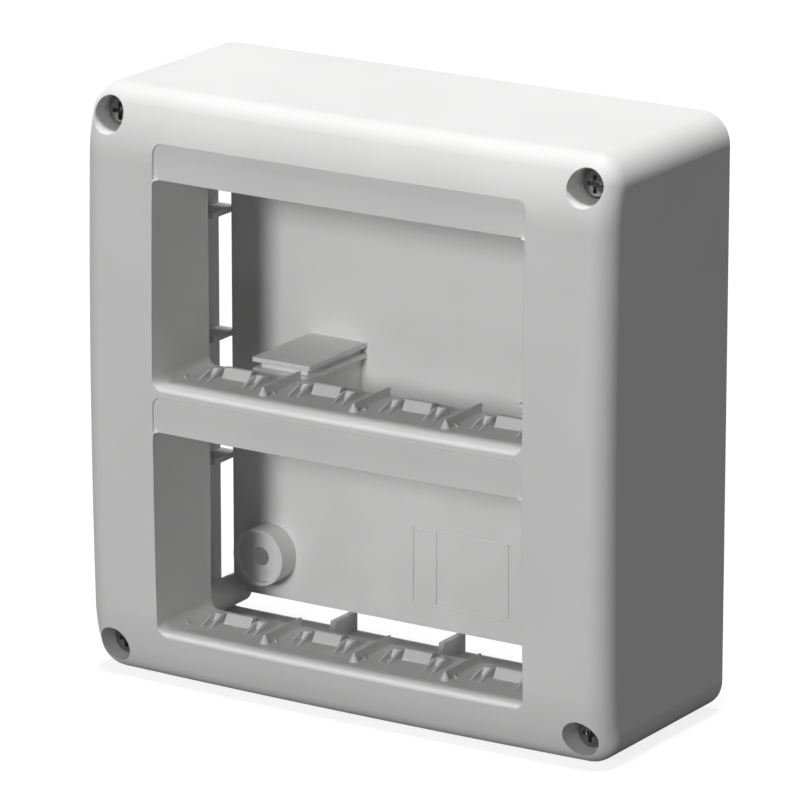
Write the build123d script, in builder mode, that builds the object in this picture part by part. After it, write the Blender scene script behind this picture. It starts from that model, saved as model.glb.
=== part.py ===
from build123d import *
from math import asin, degrees, sin
import os

# Surface-mounted device box for wall trunking: a deep moulded cover with two bays of four
# snap-in modules, a back plate inside it and four screws that hold the cover to the plate.
# Millimetres. X runs to the right, Z up, and the wall is the plane y = 0, so the front
# faces -Y. The origin is the middle of the rear face, where the box meets the wall.

# Cover, outside
cover_width = 128.5
cover_height = 129.0
cover_depth = 51.5
corner_radius = 6.5
edge_round = 5.5
crown_radius_side = 1500.0
crown_radius_up = 1500.0
shoulder_margin = 15.0
shoulder_radius = 30.0

# Cover, walls
side_wall = 1.6
front_wall = 2.0

# Window with its two bays
window_width = 91.0
window_band = 10.9
window_rise = 0.55
lintel_height = 7.8
strip_height = 2.0
bay_top_corner = 1.3
bay_low_corner = 2.0
lintel_corner = 2.25
lip_round = 0.8
low_lintel_sink = 0.5
top_lintel_sink = 1.65
top_lintel_lean = 0.2

# Wells behind the bays
well_depth = 22.2
well_wall = 1.5

# Modules, their snap catches and the fins between them
modules_per_bay = 4
module_pitch = 22.5
catch_width = 6.7
catch_height = 2.1
catch_ramp = 1.4
catch_top = 1.0
catch_setback = 14.4
guide_thickness = 0.6
guide_offset = 4.4
guide_spacing = 2.2
guide_height = 1.5
guide_length = 5.3
guide_top = 1.2
ledge_ramp = 1.0
ledge_top = 0.1
ledge_height = 1.6
arch_radius = 7.4
arch_advance = 2.6
arch_width = 0.8
arch_height = 0.8
fin_thickness = 0.45
fin_height = 1.9
fin_setback = 7.2
fin_slope = 1.3
fin_foot = 2.2
fin_point = 0.3
brace_length = 2.4
brace_thickness = 0.3
brace_height = 0.35
brace_angle = 42.0
brace_offset = 0.9
brace_setback = 11.0

# Screws that hold the cover, and their pillars
screw_margin = 6.3
counterbore_diameter = 7.9
screw_seat_depth = 10.4
pillar_width = 11.0
screw_diameter = 3.9
screw_clearance = 0.15
screw_length = 29.0
screw_point = 2.0
head_diameter = 6.6
head_height = 2.4
head_round = 0.9
recess_width = 3.8
recess_slot = 0.95
recess_depth = 1.4

# Back plate
plate_thickness = 2.0
plate_gap = 4.65
plate_corner = 3.0
post_diameter = 6.6
post_height = 24.3
pilot_extra = 3.0

# Ribs inside the cover that centre the back plate
rib_thickness = 1.3
rib_pitch = 27.7
rib_depth = 9.5
rib_rise = 0.8
rib_clearance = 0.35

# Wall-fixing bosses on the back plate
fixing_pitch = 96.0
boss_diameter = 12.8
boss_height = 5.5
boss_wall = 0.7
boss_floor = 4.2
fixing_hole = 4.0

# Brackets on the back plate
bracket_centres = (-30.45, 35.8)
bracket_width = 14.5
bracket_reach = 22.5
bracket_top = 3.15
bracket_height = 16.6
shelf_thickness = 1.0
shelf_gap = 1.4
shelf_overhang = 1.4
notch_width = 2.1
notch_depth = 2.0
notch_offset = 3.6

# Plain marking field on the back plate
field_width = 24.5
field_height = 17.4
field_x = 0.85
field_z = -44.7
field_divider = 6.1
field_line = 0.5
field_sink = 0.3

# Places worked out from the sizes above
well_rear = cover_depth - well_depth
shoulder_start = cover_height / 2 - shoulder_margin
window_height = cover_height - 2 * window_band
bay_height = (window_height - strip_height) / 2 - lintel_height
window_top = window_rise + window_height / 2
bay_step = lintel_height + bay_height + strip_height
bay_tops = [window_top - lintel_height, window_top - lintel_height - bay_step]
screw_x = cover_width / 2 - screw_margin
screw_z = cover_height / 2 - screw_margin
screw_seat = cover_depth - screw_seat_depth
plate_width = cover_width - 2 * (side_wall + plate_gap)
plate_height = cover_height - 2 * (side_wall + plate_gap)
screw_bore = screw_diameter + 2 * screw_clearance
past = 3.0


def crown_path():
    """Arc that carries the front's sideways crown, from left to right."""
    half = cover_width / 2 + past
    drop = crown_radius_side - (crown_radius_side**2 - half**2) ** 0.5
    with BuildLine() as path:
        ThreePointArc((-half, drop - cover_depth), (0, -cover_depth), (half, drop - cover_depth))
    return path.line


def section_plane(path):
    """Plane across the start of the crown path: local x is up, local y is outward."""
    return Plane(origin=path @ 0, x_dir=(0, 0, 1), z_dir=path % 0)


def crowned_block(inset, front_inset):
    """Rounded block on the wall plane with a doubly crowned, shouldered front.

    inset moves the sides inward and front_inset moves the front back, so that the same
    form gives the outside of the cover and the hollow behind it.
    """
    path = crown_path()
    reach = cover_height / 2 + past
    lift = crown_radius_up - front_inset
    bend = shoulder_radius - front_inset
    crown_angle = asin(shoulder_start / crown_radius_up)
    shoulder_first = lift * sin(crown_angle)
    shoulder_angle = asin(sin(crown_angle) + (reach - shoulder_first) / bend)
    turn = -degrees(shoulder_angle - crown_angle)
    with BuildPart() as block:
        with BuildSketch(Plane.XZ):
            width = cover_width - 2 * inset
            height = cover_height - 2 * inset
            RectangleRounded(width, height, corner_radius - inset)
        extrude(amount=cover_depth + past)
        with BuildSketch(section_plane(path)) as section:
            with BuildLine():
                crown = JernArc((0, -front_inset), (1, 0), lift, -degrees(crown_angle))
                shoulder = JernArc(crown @ 1, crown % 1, bend, turn)
                Polyline(shoulder @ 1, (reach, -cover_depth - past), (0, -cover_depth - past))
                mirror(about=Plane.YZ)
            make_face()
        sweep(sections=section.sketch, path=path, mode=Mode.INTERSECT)
        rim = block.edges().filter_by(
            lambda edge: edge.center().Y < -cover_depth / 2
            and (
                abs(edge.center().X) > cover_width / 2 - corner_radius
                or abs(edge.center().Z) > cover_height / 2 - corner_radius
            )
        )
        fillet(rim, edge_round - inset)
    return block.part


def lintel_recess(top, sink_low, sink_high):
    """Shallow step in the front above a bay, with the sideways crown of the cover."""
    path = crown_path()
    low = top - lintel_height
    with BuildPart() as recess:
        with BuildSketch(Plane.XZ.offset(well_rear)) as outline:
            with Locations((0, (top + low) / 2)):
                Rectangle(window_width, lintel_height)
            fillet(outline.vertices().group_by(Axis.Y)[-1], lintel_corner)
        extrude(amount=well_depth + past)
        with BuildSketch(section_plane(path)) as section:
            Polygon((low, -sink_low), (top, -sink_high), (top, past), (low, past), align=None)
        sweep(sections=section.sketch, path=path, mode=Mode.INTERSECT)
    return recess.part


def bay_opening(top):
    """Opening for one row of modules, from in front of the cover to behind its well."""
    with BuildPart() as opening:
        with BuildSketch(Plane.XZ.offset(well_rear - past)) as outline:
            with Locations((0, top - bay_height / 2)):
                Rectangle(window_width, bay_height)
            fillet(outline.vertices().group_by(Axis.Y)[-1], bay_top_corner)
        extrude(amount=well_depth + 2 * past)
    return opening.part


def snap_catch():
    """Snap catch of one module, standing on a floor at z = 0 with its middle at x = 0.

    A ramped lug stands between twin guide ribs, each pair with a ledge between them. A low
    arch runs behind the lug and a small brace stands where the module begins.
    """
    crest = cover_depth - catch_setback - catch_ramp
    back = catch_top - crest
    outer_guide = guide_offset + guide_spacing
    arch_middle = crest + arch_advance
    with BuildPart() as catch:
        with BuildSketch(Plane.YZ):
            Polygon((-crest - catch_ramp, 0), (-crest, catch_height), (back, catch_height), (back, 0), align=None)
        extrude(amount=catch_width / 2, both=True)
        for side in (-1, 1):
            with BuildSketch(Plane.YZ.offset(side * (guide_offset + outer_guide) / 2)):
                Polygon(
                    (-crest - ledge_ramp, 0),
                    (-crest - ledge_top, ledge_height),
                    (back, ledge_height),
                    (back, 0),
                    align=None,
                )
            extrude(amount=guide_spacing / 2, both=True)
            for offset in (guide_offset, outer_guide):
                with BuildSketch(Plane.YZ.offset(side * offset)):
                    Polygon(
                        (-crest - guide_length, 0),
                        (-crest - guide_top, guide_height),
                        (back, guide_height),
                        (back, 0),
                        align=None,
                    )
                extrude(amount=guide_thickness / 2, both=True)
        with BuildSketch(Plane.XY):
            with Locations((0, -arch_middle)):
                Circle(arch_radius)
                Circle(arch_radius - arch_width, mode=Mode.SUBTRACT)
            with Locations((0, -crest - arch_radius)):
                Rectangle(2 * arch_radius, 2 * arch_radius, mode=Mode.SUBTRACT)
        extrude(amount=arch_height)
        brace_place = (brace_offset - module_pitch / 2, brace_setback - cover_depth, 0)
        with Locations(Location(brace_place, (0, 0, brace_angle))):
            Box(
                brace_thickness,
                brace_length,
                brace_height,
                align=(Align.CENTER, Align.CENTER, Align.MIN),
            )
    return catch.part


def module_fin():
    """Thin fin between two modules, with a sloped nose in a small cone."""
    nose = cover_depth - fin_setback
    with BuildPart() as fin:
        with BuildSketch(Plane.YZ):
            Polygon(
                (-nose, 0),
                (-nose + fin_slope, fin_height),
                (-well_rear, fin_height),
                (-well_rear, 0),
                align=None,
            )
        extrude(amount=fin_thickness / 2, both=True)
        with Locations((0, -nose + fin_foot / 2, 0)):
            Cone(
                fin_foot / 2,
                fin_point / 2,
                fin_height,
                align=(Align.CENTER, Align.CENTER, Align.MIN),
            )
    return fin.part


def bay_details():
    """Catches and fins of one row of modules on a floor at z = 0."""
    with BuildPart() as details:
        with GridLocations(module_pitch, 1, modules_per_bay, 1):
            add(snap_catch())
        with GridLocations(module_pitch, 1, modules_per_bay - 1, 1):
            add(module_fin())
    return details.part


def centring_ribs(side_length, plate_length):
    """Three ribs inside the cover's right-hand wall, for a box of the given side length.

    The ribs run from that wall to a small clearance from the back plate's edge.
    """
    wall = side_length / 2 - side_wall
    edge = plate_length / 2 + rib_clearance
    with BuildPart() as ribs:
        with BuildSketch(Plane.XY):
            Polygon(
                (wall + side_wall / 2, 0),
                (edge, 0),
                (edge, rib_rise - rib_depth),
                (wall + side_wall / 2, -rib_depth),
                align=None,
            )
        extrude(amount=rib_thickness / 2, both=True)
    with BuildPart() as row:
        with Locations((0, 0, -rib_pitch), (0, 0, 0), (0, 0, rib_pitch)):
            add(ribs.part)
    return row.part


def plate_bracket(centre):
    """Moulded bracket on the back plate: a block under two shelves, the lower one notched."""
    front = plate_thickness + bracket_reach
    body_width = bracket_width - 2 * shelf_overhang
    low_shelf_top = bracket_top - shelf_thickness - shelf_gap
    with BuildPart() as bracket:
        with BuildSketch(Plane.XZ.offset(plate_thickness / 2)):
            with Locations((centre, bracket_top - bracket_height / 2)):
                Rectangle(body_width, bracket_height)
        extrude(amount=front - shelf_overhang - plate_thickness / 2)
        with BuildSketch(Plane.XZ.offset(plate_thickness / 2)):
            for shelf_top in (bracket_top, low_shelf_top):
                with Locations((centre, shelf_top - shelf_thickness / 2)):
                    Rectangle(bracket_width, shelf_thickness)
        extrude(amount=front - plate_thickness / 2)
        with BuildSketch(Plane.XY.offset(low_shelf_top - shelf_thickness)):
            with Locations((centre + notch_offset, -front + notch_depth / 2)):
                Rectangle(notch_width, notch_depth)
        extrude(amount=shelf_thickness, mode=Mode.SUBTRACT)
    return bracket.part


# Hollow in the cover: what the wells and the screw pillars leave of the inner form
with BuildPart() as hollow:
    add(crowned_block(side_wall, front_wall))
    with BuildSketch(Plane.XZ.offset(well_rear)):
        for top in bay_tops:
            with Locations((0, top - bay_height / 2)):
                Rectangle(window_width + 2 * well_wall, bay_height + 2 * well_wall)
    extrude(amount=well_depth, mode=Mode.SUBTRACT)
    with BuildSketch(Plane.XZ.offset(post_height)):
        with GridLocations(2 * screw_x, 2 * screw_z, 2, 2):
            Rectangle(pillar_width, pillar_width)
    extrude(amount=cover_depth - post_height, mode=Mode.SUBTRACT)

# Front cover: one moulding with its wells, catches, pillars and centring ribs
with BuildPart() as front_cover:
    add(crowned_block(0, 0))
    add(hollow.part, mode=Mode.SUBTRACT)
    low_sink = top_lintel_sink - top_lintel_lean
    add(lintel_recess(window_top, low_sink, top_lintel_sink), mode=Mode.SUBTRACT)
    add(
        lintel_recess(window_top - bay_step, low_lintel_sink, low_lintel_sink),
        mode=Mode.SUBTRACT,
    )
    for top in bay_tops:
        add(bay_opening(top), mode=Mode.SUBTRACT)
        floor = top - bay_height
        lips = front_cover.edges().filter_by(
            lambda edge: abs(edge.center().Z - floor) < lip_round / 2
            and edge.center().Y < -well_rear - well_depth / 2
            and edge.length > window_width / 2
        )
        fillet(lips, lip_round)
        corners = front_cover.edges().filter_by(Axis.Y).filter_by(
            lambda edge: abs(edge.center().Z - floor) < lip_round / 2
            and abs(abs(edge.center().X) - window_width / 2) < lip_round / 2
        )
        fillet(corners, bay_low_corner)
    with BuildSketch(Plane.XZ.offset(screw_seat)):
        with GridLocations(2 * screw_x, 2 * screw_z, 2, 2):
            Circle(counterbore_diameter / 2)
    extrude(amount=screw_seat_depth + past, mode=Mode.SUBTRACT)
    with BuildSketch(Plane.XZ):
        with GridLocations(2 * screw_x, 2 * screw_z, 2, 2):
            Circle(screw_bore / 2)
    extrude(amount=cover_depth, mode=Mode.SUBTRACT)
    for top in bay_tops:
        with Locations((0, 0, top - bay_height)):
            add(bay_details())
        with Locations(Location((0, 0, top), (0, 180, 0))):
            add(bay_details())
    for quarter, side_length, plate_length in (
        (0, cover_width, plate_width),
        (90, cover_height, plate_height),
        (180, cover_width, plate_width),
        (270, cover_height, plate_height),
    ):
        with Locations(Location((0, 0, 0), (0, quarter, 0))):
            add(centring_ribs(side_length, plate_length))

# Back plate: one moulding with corner posts, wall-fixing bosses, brackets and a plain field
with BuildPart() as back_plate:
    with BuildSketch(Plane.XZ):
        RectangleRounded(plate_width, plate_height, plate_corner)
    extrude(amount=plate_thickness)
    with BuildSketch(Plane.XZ):
        with GridLocations(2 * screw_x, 2 * screw_z, 2, 2):
            Circle(post_diameter / 2)
    extrude(amount=post_height)
    pilot_end = screw_seat - screw_length - pilot_extra
    with BuildSketch(Plane.XZ.offset(pilot_end)):
        with GridLocations(2 * screw_x, 2 * screw_z, 2, 2):
            Circle(screw_bore / 2)
    extrude(amount=post_height - pilot_end, mode=Mode.SUBTRACT)
    with BuildSketch(Plane.XZ):
        with GridLocations(fixing_pitch, fixing_pitch, 2, 2):
            Circle(boss_diameter / 2)
    extrude(amount=plate_thickness + boss_height)
    with BuildSketch(Plane.XZ.offset(plate_thickness + boss_floor)):
        with GridLocations(fixing_pitch, fixing_pitch, 2, 2):
            Circle(boss_diameter / 2 - boss_wall)
    extrude(amount=boss_height, mode=Mode.SUBTRACT)
    with BuildSketch(Plane.XZ):
        with GridLocations(fixing_pitch, fixing_pitch, 2, 2):
            Circle(fixing_hole / 2)
    extrude(amount=plate_thickness + boss_floor, mode=Mode.SUBTRACT)
    for centre in bracket_centres:
        add(plate_bracket(centre))
    with BuildSketch(Plane.XZ.offset(plate_thickness - field_sink)):
        with Locations((field_x, field_z)):
            Rectangle(field_width, field_height)
            Rectangle(field_width - 2 * field_line, field_height - 2 * field_line, mode=Mode.SUBTRACT)
            with Locations((field_divider - field_width / 2, 0)):
                Rectangle(field_line, field_height)
    extrude(amount=field_sink, mode=Mode.SUBTRACT)

# Cover screws: pan heads seated on the floors of the counterbores, points to the wall
with BuildPart() as cover_screw:
    Cylinder(head_diameter / 2, head_height, align=(Align.CENTER, Align.CENTER, Align.MIN))
    fillet(cover_screw.faces().sort_by(Axis.Z)[-1].edges(), head_round)
    with BuildSketch(Plane.XY.offset(head_height - recess_depth)):
        Rectangle(recess_width, recess_slot)
        Rectangle(recess_slot, recess_width)
    extrude(amount=recess_depth, mode=Mode.SUBTRACT)
    with BuildSketch(Plane.XY):
        Circle(screw_diameter / 2)
    extrude(amount=screw_point - screw_length)
    with Locations((0, 0, -screw_length)):
        Cone(
            screw_diameter / 4,
            screw_diameter / 2,
            screw_point,
            align=(Align.CENTER, Align.CENTER, Align.MIN),
        )

os.makedirs("parts", exist_ok=True)

front_cover.part.label = "front_cover"
export_step(front_cover.part, "parts/front_cover.step")

back_plate.part.label = "back_plate"
export_step(back_plate.part, "parts/back_plate.step")

for height_name, z in (("top", screw_z), ("bottom", -screw_z)):
    for side_name, x in (("left", -screw_x), ("right", screw_x)):
        with BuildPart() as placed_screw:
            with Locations(Location((x, -screw_seat, z), (90, 0, 0))):
                add(cover_screw.part)
        placed_screw.part.label = f"cover_screw_{height_name}_{side_name}"
        export_step(placed_screw.part, f"parts/{placed_screw.part.label}.step")
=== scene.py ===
"""Looks, light and camera for the surface-mounted device box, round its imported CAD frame.

Metres, in the frame of the CAD part: X to the right, Z up, and the wall at y = 0.
"""

from __future__ import annotations

import logging
import math
from dataclasses import dataclass, field
from enum import Enum
from typing import Any, Mapping, Sequence, Union

import bpy
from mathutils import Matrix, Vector


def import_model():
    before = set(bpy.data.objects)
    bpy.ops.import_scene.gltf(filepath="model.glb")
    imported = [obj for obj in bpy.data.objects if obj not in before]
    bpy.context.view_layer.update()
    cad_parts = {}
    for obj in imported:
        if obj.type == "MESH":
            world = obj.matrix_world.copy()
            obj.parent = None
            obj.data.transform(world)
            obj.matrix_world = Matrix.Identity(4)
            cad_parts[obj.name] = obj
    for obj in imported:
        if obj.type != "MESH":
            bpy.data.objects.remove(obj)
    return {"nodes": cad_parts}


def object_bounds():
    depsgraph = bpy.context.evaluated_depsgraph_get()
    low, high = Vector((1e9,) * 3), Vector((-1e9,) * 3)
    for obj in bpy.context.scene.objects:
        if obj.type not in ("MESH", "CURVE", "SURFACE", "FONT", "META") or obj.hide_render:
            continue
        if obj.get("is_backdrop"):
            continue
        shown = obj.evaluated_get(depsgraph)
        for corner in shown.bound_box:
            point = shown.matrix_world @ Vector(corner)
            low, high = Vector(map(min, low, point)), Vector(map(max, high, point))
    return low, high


LOG = logging.getLogger("device_box")
MM = 0.001
RAY_SAMPLES = 6
NOISE_MIDDLE = 0.5
FIRST_COLOUR, SECOND_COLOUR, MIXED_COLOUR = 6, 7, 2
Colour = tuple[float, float, float]
Span = tuple[float, float]
WHITE: Colour = (1.0, 1.0, 1.0)


class Slot(Enum):
    """Material slots of the record."""

    COVER = "cover_plastic"
    PLATE = "plate_plastic"
    SCREW = "screw_steel"


class Side(Enum):
    """Which ray a studio surface is seen by."""

    CAMERA = "Is Camera Ray"
    GLOSSY = "Is Glossy Ray"


class Signal:
    """One output of a shader node, with arithmetic that adds math nodes."""

    def __init__(self, sheet: "Sheet", socket: bpy.types.NodeSocket) -> None:
        """Keep the sheet the nodes go on and the socket that carries the value."""
        self.sheet = sheet
        self.socket = socket

    def _math(self, operation: str, *values: "Value") -> "Signal":
        """Add one math node.

        Args:
            operation: the math node's operation.
            values: its inputs in order, signals or plain numbers.

        Returns:
            The node's output.
        """
        inputs = dict(enumerate(values))
        return self.sheet.out(self.sheet.node("ShaderNodeMath", {"operation": operation}, inputs))

    def __add__(self, other: "Value") -> "Signal":
        """Signal plus other."""
        return self._math("ADD", self, other)

    def __radd__(self, other: "Value") -> "Signal":
        """Other plus signal."""
        return self._math("ADD", other, self)

    def __sub__(self, other: "Value") -> "Signal":
        """Signal minus other."""
        return self._math("SUBTRACT", self, other)

    def __rsub__(self, other: "Value") -> "Signal":
        """Other minus signal."""
        return self._math("SUBTRACT", other, self)

    def __mul__(self, other: "Value") -> "Signal":
        """Signal times other."""
        return self._math("MULTIPLY", self, other)

    def __rmul__(self, other: "Value") -> "Signal":
        """Other times signal."""
        return self._math("MULTIPLY", other, self)

    def between(self, span: Span) -> "Signal":
        """Ease from 0 at the span's first value to 1 at its second."""
        node = self.sheet.node(
            "ShaderNodeMapRange",
            {"interpolation_type": "SMOOTHSTEP"},
            {"Value": self, "From Min": span[0], "From Max": span[1]},
        )
        return self.sheet.out(node, "Result")


Value = Union[Signal, float, Sequence[float]]


class Sheet:
    """A node tree that is filled from empty."""

    def __init__(self, tree: bpy.types.NodeTree) -> None:
        """Clear the tree and keep it."""
        self.tree = tree
        tree.nodes.clear()

    def feed(self, socket: bpy.types.NodeSocket, value: Value) -> None:
        """Link a signal to a socket, or set a plain value on it.

        Args:
            socket: the input socket.
            value: a signal, a number, or a colour or vector with or without its fourth value.
        """
        if isinstance(value, Signal):
            self.tree.links.new(value.socket, socket)
        elif isinstance(value, (int, float)) or len(value) == len(socket.default_value):
            socket.default_value = value
        else:
            socket.default_value = (*value, 1.0)

    def node(
        self,
        kind: str,
        settings: Mapping[str, Any] | None = None,
        inputs: Mapping[Union[str, int], Value] | None = None,
    ) -> bpy.types.Node:
        """Add one node.

        Args:
            kind: the node's type name.
            settings: properties to set before its sockets are touched.
            inputs: values or links by socket name or number.

        Returns:
            The new node.
        """
        node = self.tree.nodes.new(kind)
        for name, value in (settings or {}).items():
            setattr(node, name, value)
        for name, value in (inputs or {}).items():
            self.feed(node.inputs[name], value)
        return node

    def out(self, node: bpy.types.Node, name: Union[str, int] = 0) -> Signal:
        """One output of a node as a signal."""
        return Signal(self, node.outputs[name])

    def noise(self, place: Signal, grain: float, detail: float = 2.0) -> Signal:
        """Noise from 0 to 1.

        Args:
            place: where it is read.
            grain: rough width of its lumps, in metres.
            detail: how many finer layers are added.

        Returns:
            The noise.
        """
        inputs = {"Vector": place, "Scale": 1 / grain, "Detail": detail}
        return self.out(self.node("ShaderNodeTexNoise", None, inputs), "Fac")

    def blend(self, amount: Value, first: Value, second: Value) -> Signal:
        """Mix two colours.

        Args:
            amount: share of the second one.
            first: the colour at share 0.
            second: the colour at share 1.

        Returns:
            The mixed colour.
        """
        inputs = {0: amount, FIRST_COLOUR: first, SECOND_COLOUR: second}
        node = self.node("ShaderNodeMix", {"data_type": "RGBA"}, inputs)
        return self.out(node, MIXED_COLOUR)

    def layer(self, amount: Value, first: Signal, second: Signal) -> Signal:
        """Mix two shaders.

        Args:
            amount: share of the second one.
            first: the shader at share 0.
            second: the shader at share 1.

        Returns:
            The mixed shader.
        """
        return self.out(self.node("ShaderNodeMixShader", None, {0: amount, 1: first, 2: second}))

    def place(self) -> Signal:
        """Position on the object, in metres of the row frame."""
        return self.out(self.node("ShaderNodeTexCoord"), "Object")

    def soft_normal(self, radius: float) -> Signal:
        """Surface normal with its sharp edges rounded by radius."""
        return self.out(
            self.node("ShaderNodeBevel", {"samples": RAY_SAMPLES}, {"Radius": radius})
        )

    def edge(self, soft: Signal) -> Signal:
        """How far the rounded normal leans away from the flat one, 0 on open surfaces."""
        flat = self.out(self.node("ShaderNodeNewGeometry"), "Normal")
        node = self.node("ShaderNodeVectorMath", {"operation": "DOT_PRODUCT"}, {0: soft, 1: flat})
        return 1.0 - self.out(node, "Value")

    def bumped(self, height: Signal, depth: float, strength: float, soft: Signal) -> Signal:
        """Normal with a fine relief.

        Args:
            height: the relief, from 0 to 1.
            depth: what its full height measures, in metres.
            strength: how strongly it shows.
            soft: the normal it is laid on.

        Returns:
            The new normal.
        """
        inputs = {"Strength": strength, "Distance": depth, "Height": height, "Normal": soft}
        return self.out(self.node("ShaderNodeBump", None, inputs))

    def surface(self, inputs: Mapping[Union[str, int], Value]) -> None:
        """End a material in one principled shader with these inputs."""
        shader = self.out(self.node("ShaderNodeBsdfPrincipled", None, inputs))
        self.node("ShaderNodeOutputMaterial", None, {"Surface": shader})


def new_material(name: str) -> tuple[bpy.types.Material, Sheet]:
    """Add a material with an empty node tree.

    Args:
        name: the material's name.

    Returns:
        The material and the sheet of its nodes.
    """
    made = bpy.data.materials.new(name)
    made.use_nodes = True
    return made, Sheet(made.node_tree)


def shade(colour: Colour, factor: float) -> Colour:
    """A colour made lighter or darker by a factor."""
    return (colour[0] * factor, colour[1] * factor, colour[2] * factor)


@dataclass(frozen=True)
class MouldedPlastic:
    """Satin moulded plastic with a fine grain, faint clouding, and edges that are less rough and
    carry a painted highlight (a lighter colour).
    """

    colour: Colour
    roughness: float = 0.46
    refraction: float = 1.49
    gloss: float = 0.35
    cloud_size: float = 26 * MM
    cloud_span: Span = (0.3, 0.7)
    cloud_depth: float = 0.035
    flow_size: float = 5 * MM
    flow_detail: float = 4.0
    flow_span: Span = (0.55, 0.8)
    flow_depth: float = 0.02
    flow_roughness: float = 0.08
    grain_size: float = 0.42 * MM
    grain_detail: float = 3.0
    grain_height: float = 0.012 * MM
    grain_strength: float = 0.35
    grain_roughness: float = 0.1
    edge_radius: float = 0.22 * MM
    edge_span: Span = (0.02, 0.3)
    # Painted highlight: how much, and by what factor, the colour is lightened along edges.
    edge_highlight_share: float = 0.6
    edge_highlight_lift: float = 1.05
    edge_polish: float = 0.08

    def material(self, name: str) -> bpy.types.Material:
        """Build the material.

        Args:
            name: the material's name.

        Returns:
            The finished material.
        """
        made, sheet = new_material(name)
        place = sheet.place()
        soft = sheet.soft_normal(self.edge_radius)
        edge = sheet.edge(soft).between(self.edge_span)
        clouds = sheet.noise(place, self.cloud_size)
        flow = sheet.noise(place, self.flow_size, self.flow_detail)
        grain = sheet.noise(place, self.grain_size, self.grain_detail)
        clouded = shade(self.colour, 1 - self.cloud_depth)
        plain = sheet.blend(clouds.between(self.cloud_span), clouded, self.colour)
        streak = shade(self.colour, 1 - self.flow_depth)
        streaked = sheet.blend(flow.between(self.flow_span), plain, streak)
        # Painted highlight: a lighter copy of the colour, blended in along edges by the edge
        # mask.
        edge_highlight_colour = shade(self.colour, self.edge_highlight_lift)
        uneven = (flow - NOISE_MIDDLE) * self.flow_roughness
        uneven += (grain - NOISE_MIDDLE) * self.grain_roughness
        sheet.surface(
            {
                "Base Color": sheet.blend(edge * self.edge_highlight_share, streaked, edge_highlight_colour),
                "Roughness": self.roughness + uneven - edge * self.edge_polish,
                "IOR": self.refraction,
                "Specular IOR Level": self.gloss,
                "Normal": sheet.bumped(grain, self.grain_height, self.grain_strength, soft),
            }
        )
        return made


@dataclass(frozen=True)
class PlatedSteel:
    """Plated steel with fine scratches and stains, and painted shade that darkens its hollows."""

    colour: Colour = (0.35, 0.35, 0.345)
    roughness: float = 0.13
    scratch_size: float = 0.6 * MM
    scratch_stretch: tuple[float, float, float] = (0.15, 1.0, 1.0)
    scratch_detail: float = 3.0
    scratch_height: float = 0.05 * MM
    scratch_strength: float = 0.4
    scratch_roughness: float = 0.15
    stain_size: float = 2.2 * MM
    stain_detail: float = 3.0
    stain_span: Span = (0.35, 0.7)
    stain_shade: float = 0.82
    stain_roughness: float = 0.12
    # Painted shade: how far occlusion is looked for, and how strongly recesses are darkened.
    painted_shade_reach: float = 0.7 * MM
    painted_shade_span: Span = (0.35, 0.95)
    painted_shade_factor: float = 0.85
    edge_radius: float = 0.16 * MM

    def material(self, name: str) -> bpy.types.Material:
        """Build the material.

        Args:
            name: the material's name.

        Returns:
            The finished material.
        """
        made, sheet = new_material(name)
        place = sheet.place()
        soft = sheet.soft_normal(self.edge_radius)
        mapping = {"Vector": place, "Scale": self.scratch_stretch}
        stretched = sheet.out(sheet.node("ShaderNodeMapping", None, mapping))
        scratches = sheet.noise(stretched, self.scratch_size, self.scratch_detail)
        stains = sheet.noise(place, self.stain_size, self.stain_detail)
        # Painted shade: ambient occlusion darkens the colour in recesses such as the cross.
        recess_occlusion = sheet.node(
            "ShaderNodeAmbientOcclusion",
            {"samples": RAY_SAMPLES},
            {"Distance": self.painted_shade_reach},
        )
        stained = shade(self.colour, self.stain_shade)
        clean = sheet.blend(stains.between(self.stain_span), stained, self.colour)
        # Painted shade: a darker copy of the colour, laid into recesses where occlusion is high.
        painted_recess_shade = shade(self.colour, self.painted_shade_factor)
        unshaded_share = sheet.out(recess_occlusion, "AO").between(self.painted_shade_span)
        uneven = (scratches - NOISE_MIDDLE) * self.scratch_roughness
        uneven += (stains - NOISE_MIDDLE) * self.stain_roughness
        relief = sheet.bumped(scratches, self.scratch_height, self.scratch_strength, soft)
        sheet.surface(
            {
                "Base Color": sheet.blend(unshaded_share, painted_recess_shade, clean),
                "Metallic": 1.0,
                "Roughness": self.roughness + uneven,
                "Normal": relief,
            }
        )
        return made


@dataclass
class FrontCover:
    """The crowned cover with its bays, catches and centring ribs."""

    finish: MouldedPlastic = MouldedPlastic((0.80, 0.80, 0.795), roughness=0.56)
    node: str = "front_cover"

    def build(self, nodes: Mapping[str, bpy.types.Object]) -> list[bpy.types.Object]:
        """Give the cover its finish.

        Args:
            nodes: the CAD nodes by name.

        Returns:
            The pieces this class finishes.
        """
        return dress([nodes[self.node]], self.finish.material(Slot.COVER.value))


@dataclass
class BackPlate:
    """The plate on the wall with posts, bosses, brackets and a plain field."""

    finish: MouldedPlastic = MouldedPlastic((0.90, 0.90, 0.895), roughness=0.5, cloud_depth=0.05)
    node: str = "back_plate"

    def build(self, nodes: Mapping[str, bpy.types.Object]) -> list[bpy.types.Object]:
        """Give the plate its finish.

        Args:
            nodes: the CAD nodes by name.

        Returns:
            The pieces this class finishes.
        """
        return dress([nodes[self.node]], self.finish.material(Slot.PLATE.value))


@dataclass
class CoverScrews:
    """The four screws that hold the cover."""

    finish: PlatedSteel = PlatedSteel()
    stem: str = "cover_screw"

    def build(self, nodes: Mapping[str, bpy.types.Object]) -> list[bpy.types.Object]:
        """Give the screws their finish.

        Args:
            nodes: the CAD nodes by name.

        Returns:
            The pieces this class finishes.
        """
        screws = [nodes[name] for name in sorted(nodes) if name.startswith(self.stem)]
        return dress(screws, self.finish.material(Slot.SCREW.value))


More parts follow.
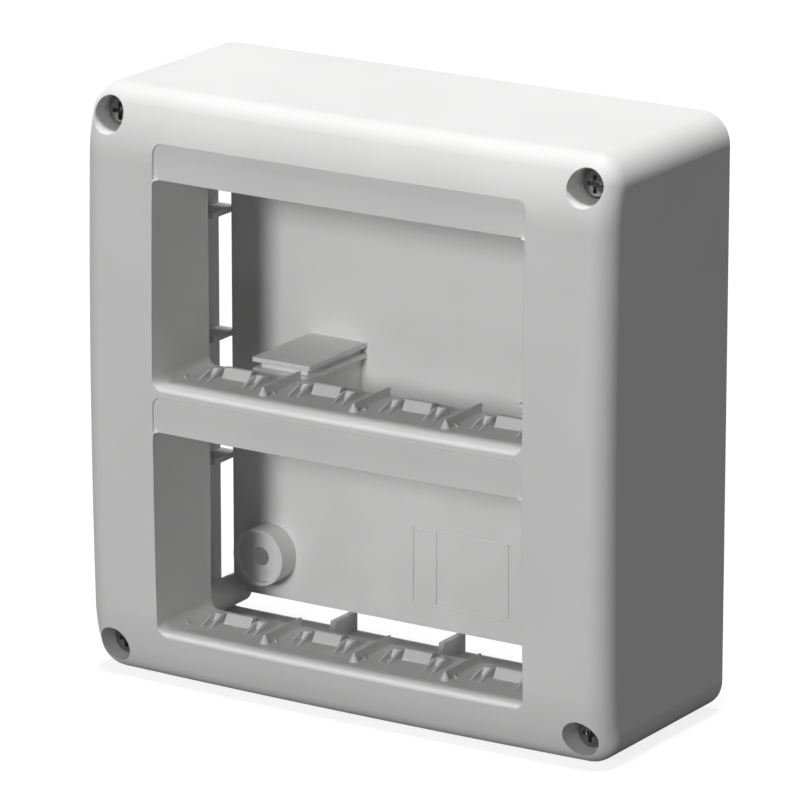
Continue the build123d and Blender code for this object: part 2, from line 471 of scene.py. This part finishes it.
def dress(
    pieces: Sequence[bpy.types.Object], material: bpy.types.Material
) -> list[bpy.types.Object]:
    """Put one material on each piece.

    Args:
        pieces: the CAD node objects.
        material: what they get.

    Returns:
        The same pieces as a list.
    """
    for piece in pieces:
        piece.data.materials.clear()
        piece.data.materials.append(material)
    return list(pieces)


def toward(azimuth: float, elevation: float) -> Vector:
    """Direction from the object to a place round it.

    Args:
        azimuth: degrees to the right of straight in front.
        elevation: degrees above level.

    Returns:
        A unit vector.
    """
    turn, rise = math.radians(azimuth), math.radians(elevation)
    level = math.cos(rise)
    return Vector((math.sin(turn) * level, -math.cos(turn) * level, math.sin(rise)))


def place_in_scene(name: str, data: bpy.types.ID, turn: Any, location: Any) -> bpy.types.Object:
    """Add a turned object to the scene.

    Args:
        name: the object's name.
        data: its light or camera data.
        turn: its rotation as a quaternion.
        location: where it stands.

    Returns:
        The new object.
    """
    placed = bpy.data.objects.new(name, data)
    placed.location = location
    placed.rotation_mode = "QUATERNION"
    placed.rotation_quaternion = turn
    bpy.context.scene.collection.objects.link(placed)
    return placed


@dataclass(frozen=True)
class Lamp:
    """A far soft light. Azimuth, elevation and spread are in degrees."""

    name: str
    azimuth: float
    elevation: float
    strength: float
    spread: float

    def build(self) -> bpy.types.Object:
        """Add the lamp to the scene and return it."""
        light = bpy.data.lights.new(self.name, "SUN")
        light.energy = self.strength
        light.angle = math.radians(self.spread)
        turn = toward(self.azimuth, self.elevation).to_track_quat("Z", "Y")
        return place_in_scene(self.name, light, turn, (0, 0, 0))


@dataclass
class Studio:
    """Floor and surroundings that the camera sees as white, and the lamps."""

    floor_z: float
    floor_half: float = 3.0
    floor_grey: float = 0.18
    floor_shown: float = 0.9
    floor_glow: float = 1.06
    glow_share: float = 0.8
    ambient: float = 0.015
    mirrored: float = 0.3
    lamps: list[Lamp] = field(
        default_factory=lambda: [
            Lamp("top_light", azimuth=180.0, elevation=86.0, strength=1.3, spread=8.0),
            Lamp("brow_light", azimuth=0.0, elevation=86.0, strength=1.78, spread=6.0),
            Lamp("front_light", azimuth=5.2, elevation=17.5, strength=1.45, spread=14.0),
            Lamp("sky_light", azimuth=0.0, elevation=55.0, strength=0.07, spread=60.0),
            Lamp("back_light", azimuth=240.0, elevation=3.0, strength=0.9, spread=20.0),
        ]
    )

    def build(self) -> None:
        """Add the floor, the surroundings and the lamps."""
        self._floor()
        self._world()
        for lamp in self.lamps:
            lamp.build()

    def _floor(self) -> None:
        """Add a floor that lights the object as a grey one and keeps its soft shadow."""
        half = self.floor_half
        mesh = bpy.data.meshes.new("floor")
        square = [(-half, -half), (half, -half), (half, half), (-half, half)]
        mesh.from_pydata([(x, y, self.floor_z) for x, y in square], [], [(0, 1, 2, 3)])
        floor = bpy.data.objects.new("floor", mesh)
        bpy.context.scene.collection.objects.link(floor)
        made, sheet = new_material("floor")
        seen = sheet.out(sheet.node("ShaderNodeLightPath"), Side.CAMERA.value)
        paint = sheet.blend(seen, shade(WHITE, self.floor_grey), shade(WHITE, self.floor_shown))
        matt = sheet.out(sheet.node("ShaderNodeBsdfDiffuse", None, {"Color": paint}))
        glow = sheet.out(sheet.node("ShaderNodeEmission", None, {"Strength": self.floor_glow}))
        both = sheet.layer(seen * self.glow_share, matt, glow)
        sheet.node("ShaderNodeOutputMaterial", None, {"Surface": both})
        mesh.materials.append(made)
        floor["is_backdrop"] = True

    def _world(self) -> None:
        """Add surroundings: white for the camera, grey in reflections, nearly dark as a light."""
        world = bpy.data.worlds.new("surroundings")
        world.use_nodes = True
        sheet = Sheet(world.node_tree)
        rays = sheet.node("ShaderNodeLightPath")
        shown = self._backdrop(sheet, self.ambient)
        for side, strength in ((Side.GLOSSY, self.mirrored), (Side.CAMERA, 1.0)):
            shown = sheet.layer(
                sheet.out(rays, side.value), shown, self._backdrop(sheet, strength)
            )
        sheet.node("ShaderNodeOutputWorld", None, {"Surface": shown})
        bpy.context.scene.world = world

    @staticmethod
    def _backdrop(sheet: Sheet, strength: float) -> Signal:
        """An even white surround of the given strength."""
        inputs = {"Color": WHITE, "Strength": strength}
        return sheet.out(sheet.node("ShaderNodeBackground", None, inputs))


@dataclass(frozen=True)
class PhotoCamera:
    """The camera, placed to match the photograph's view of the box."""

    azimuth: float = 32.45
    elevation: float = 16.2
    distance: float = 1.37
    lens: float = 294.0
    sensor: float = 36.0
    near: float = 0.01
    far: float = 50.0
    aim_right: float = 0.25 * MM
    aim_up: float = -0.23 * MM

    def build(self, centre: Vector) -> bpy.types.Object:
        """Add the camera and make it the scene's.

        Args:
            centre: the middle of the object.

        Returns:
            The camera object.
        """
        data = bpy.data.cameras.new("camera")
        data.lens = self.lens
        data.sensor_width = self.sensor
        data.clip_start = self.near
        data.clip_end = self.far
        back = toward(self.azimuth, self.elevation)
        turn = back.to_track_quat("Z", "Y")
        aim = centre + turn @ Vector((self.aim_right, self.aim_up, 0))
        camera = place_in_scene("camera", data, turn, aim + back * self.distance)
        bpy.context.scene.camera = camera
        return camera


def corners() -> list[list[float]]:
    """Lowest and highest corner of the shown object as plain lists."""
    low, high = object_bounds()
    return [list(low), list(high)]


def main() -> None:
    """Dress the CAD frame, light it and set the camera."""
    logging.basicConfig(level=logging.INFO, format="%(message)s")
    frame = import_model()
    first = corners()
    for part in (FrontCover(), BackPlate(), CoverScrews()):
        for piece in part.build(frame["nodes"]):
            LOG.info("%s: %s", type(part).__name__, piece.name)
    low, high = Vector(first[0]), Vector(first[1])
    Studio(floor_z=low.z).build()
    PhotoCamera().build((low + high) / 2)
    bpy.context.scene.view_settings.view_transform = "Standard"


if __name__ == "__main__":
    main()
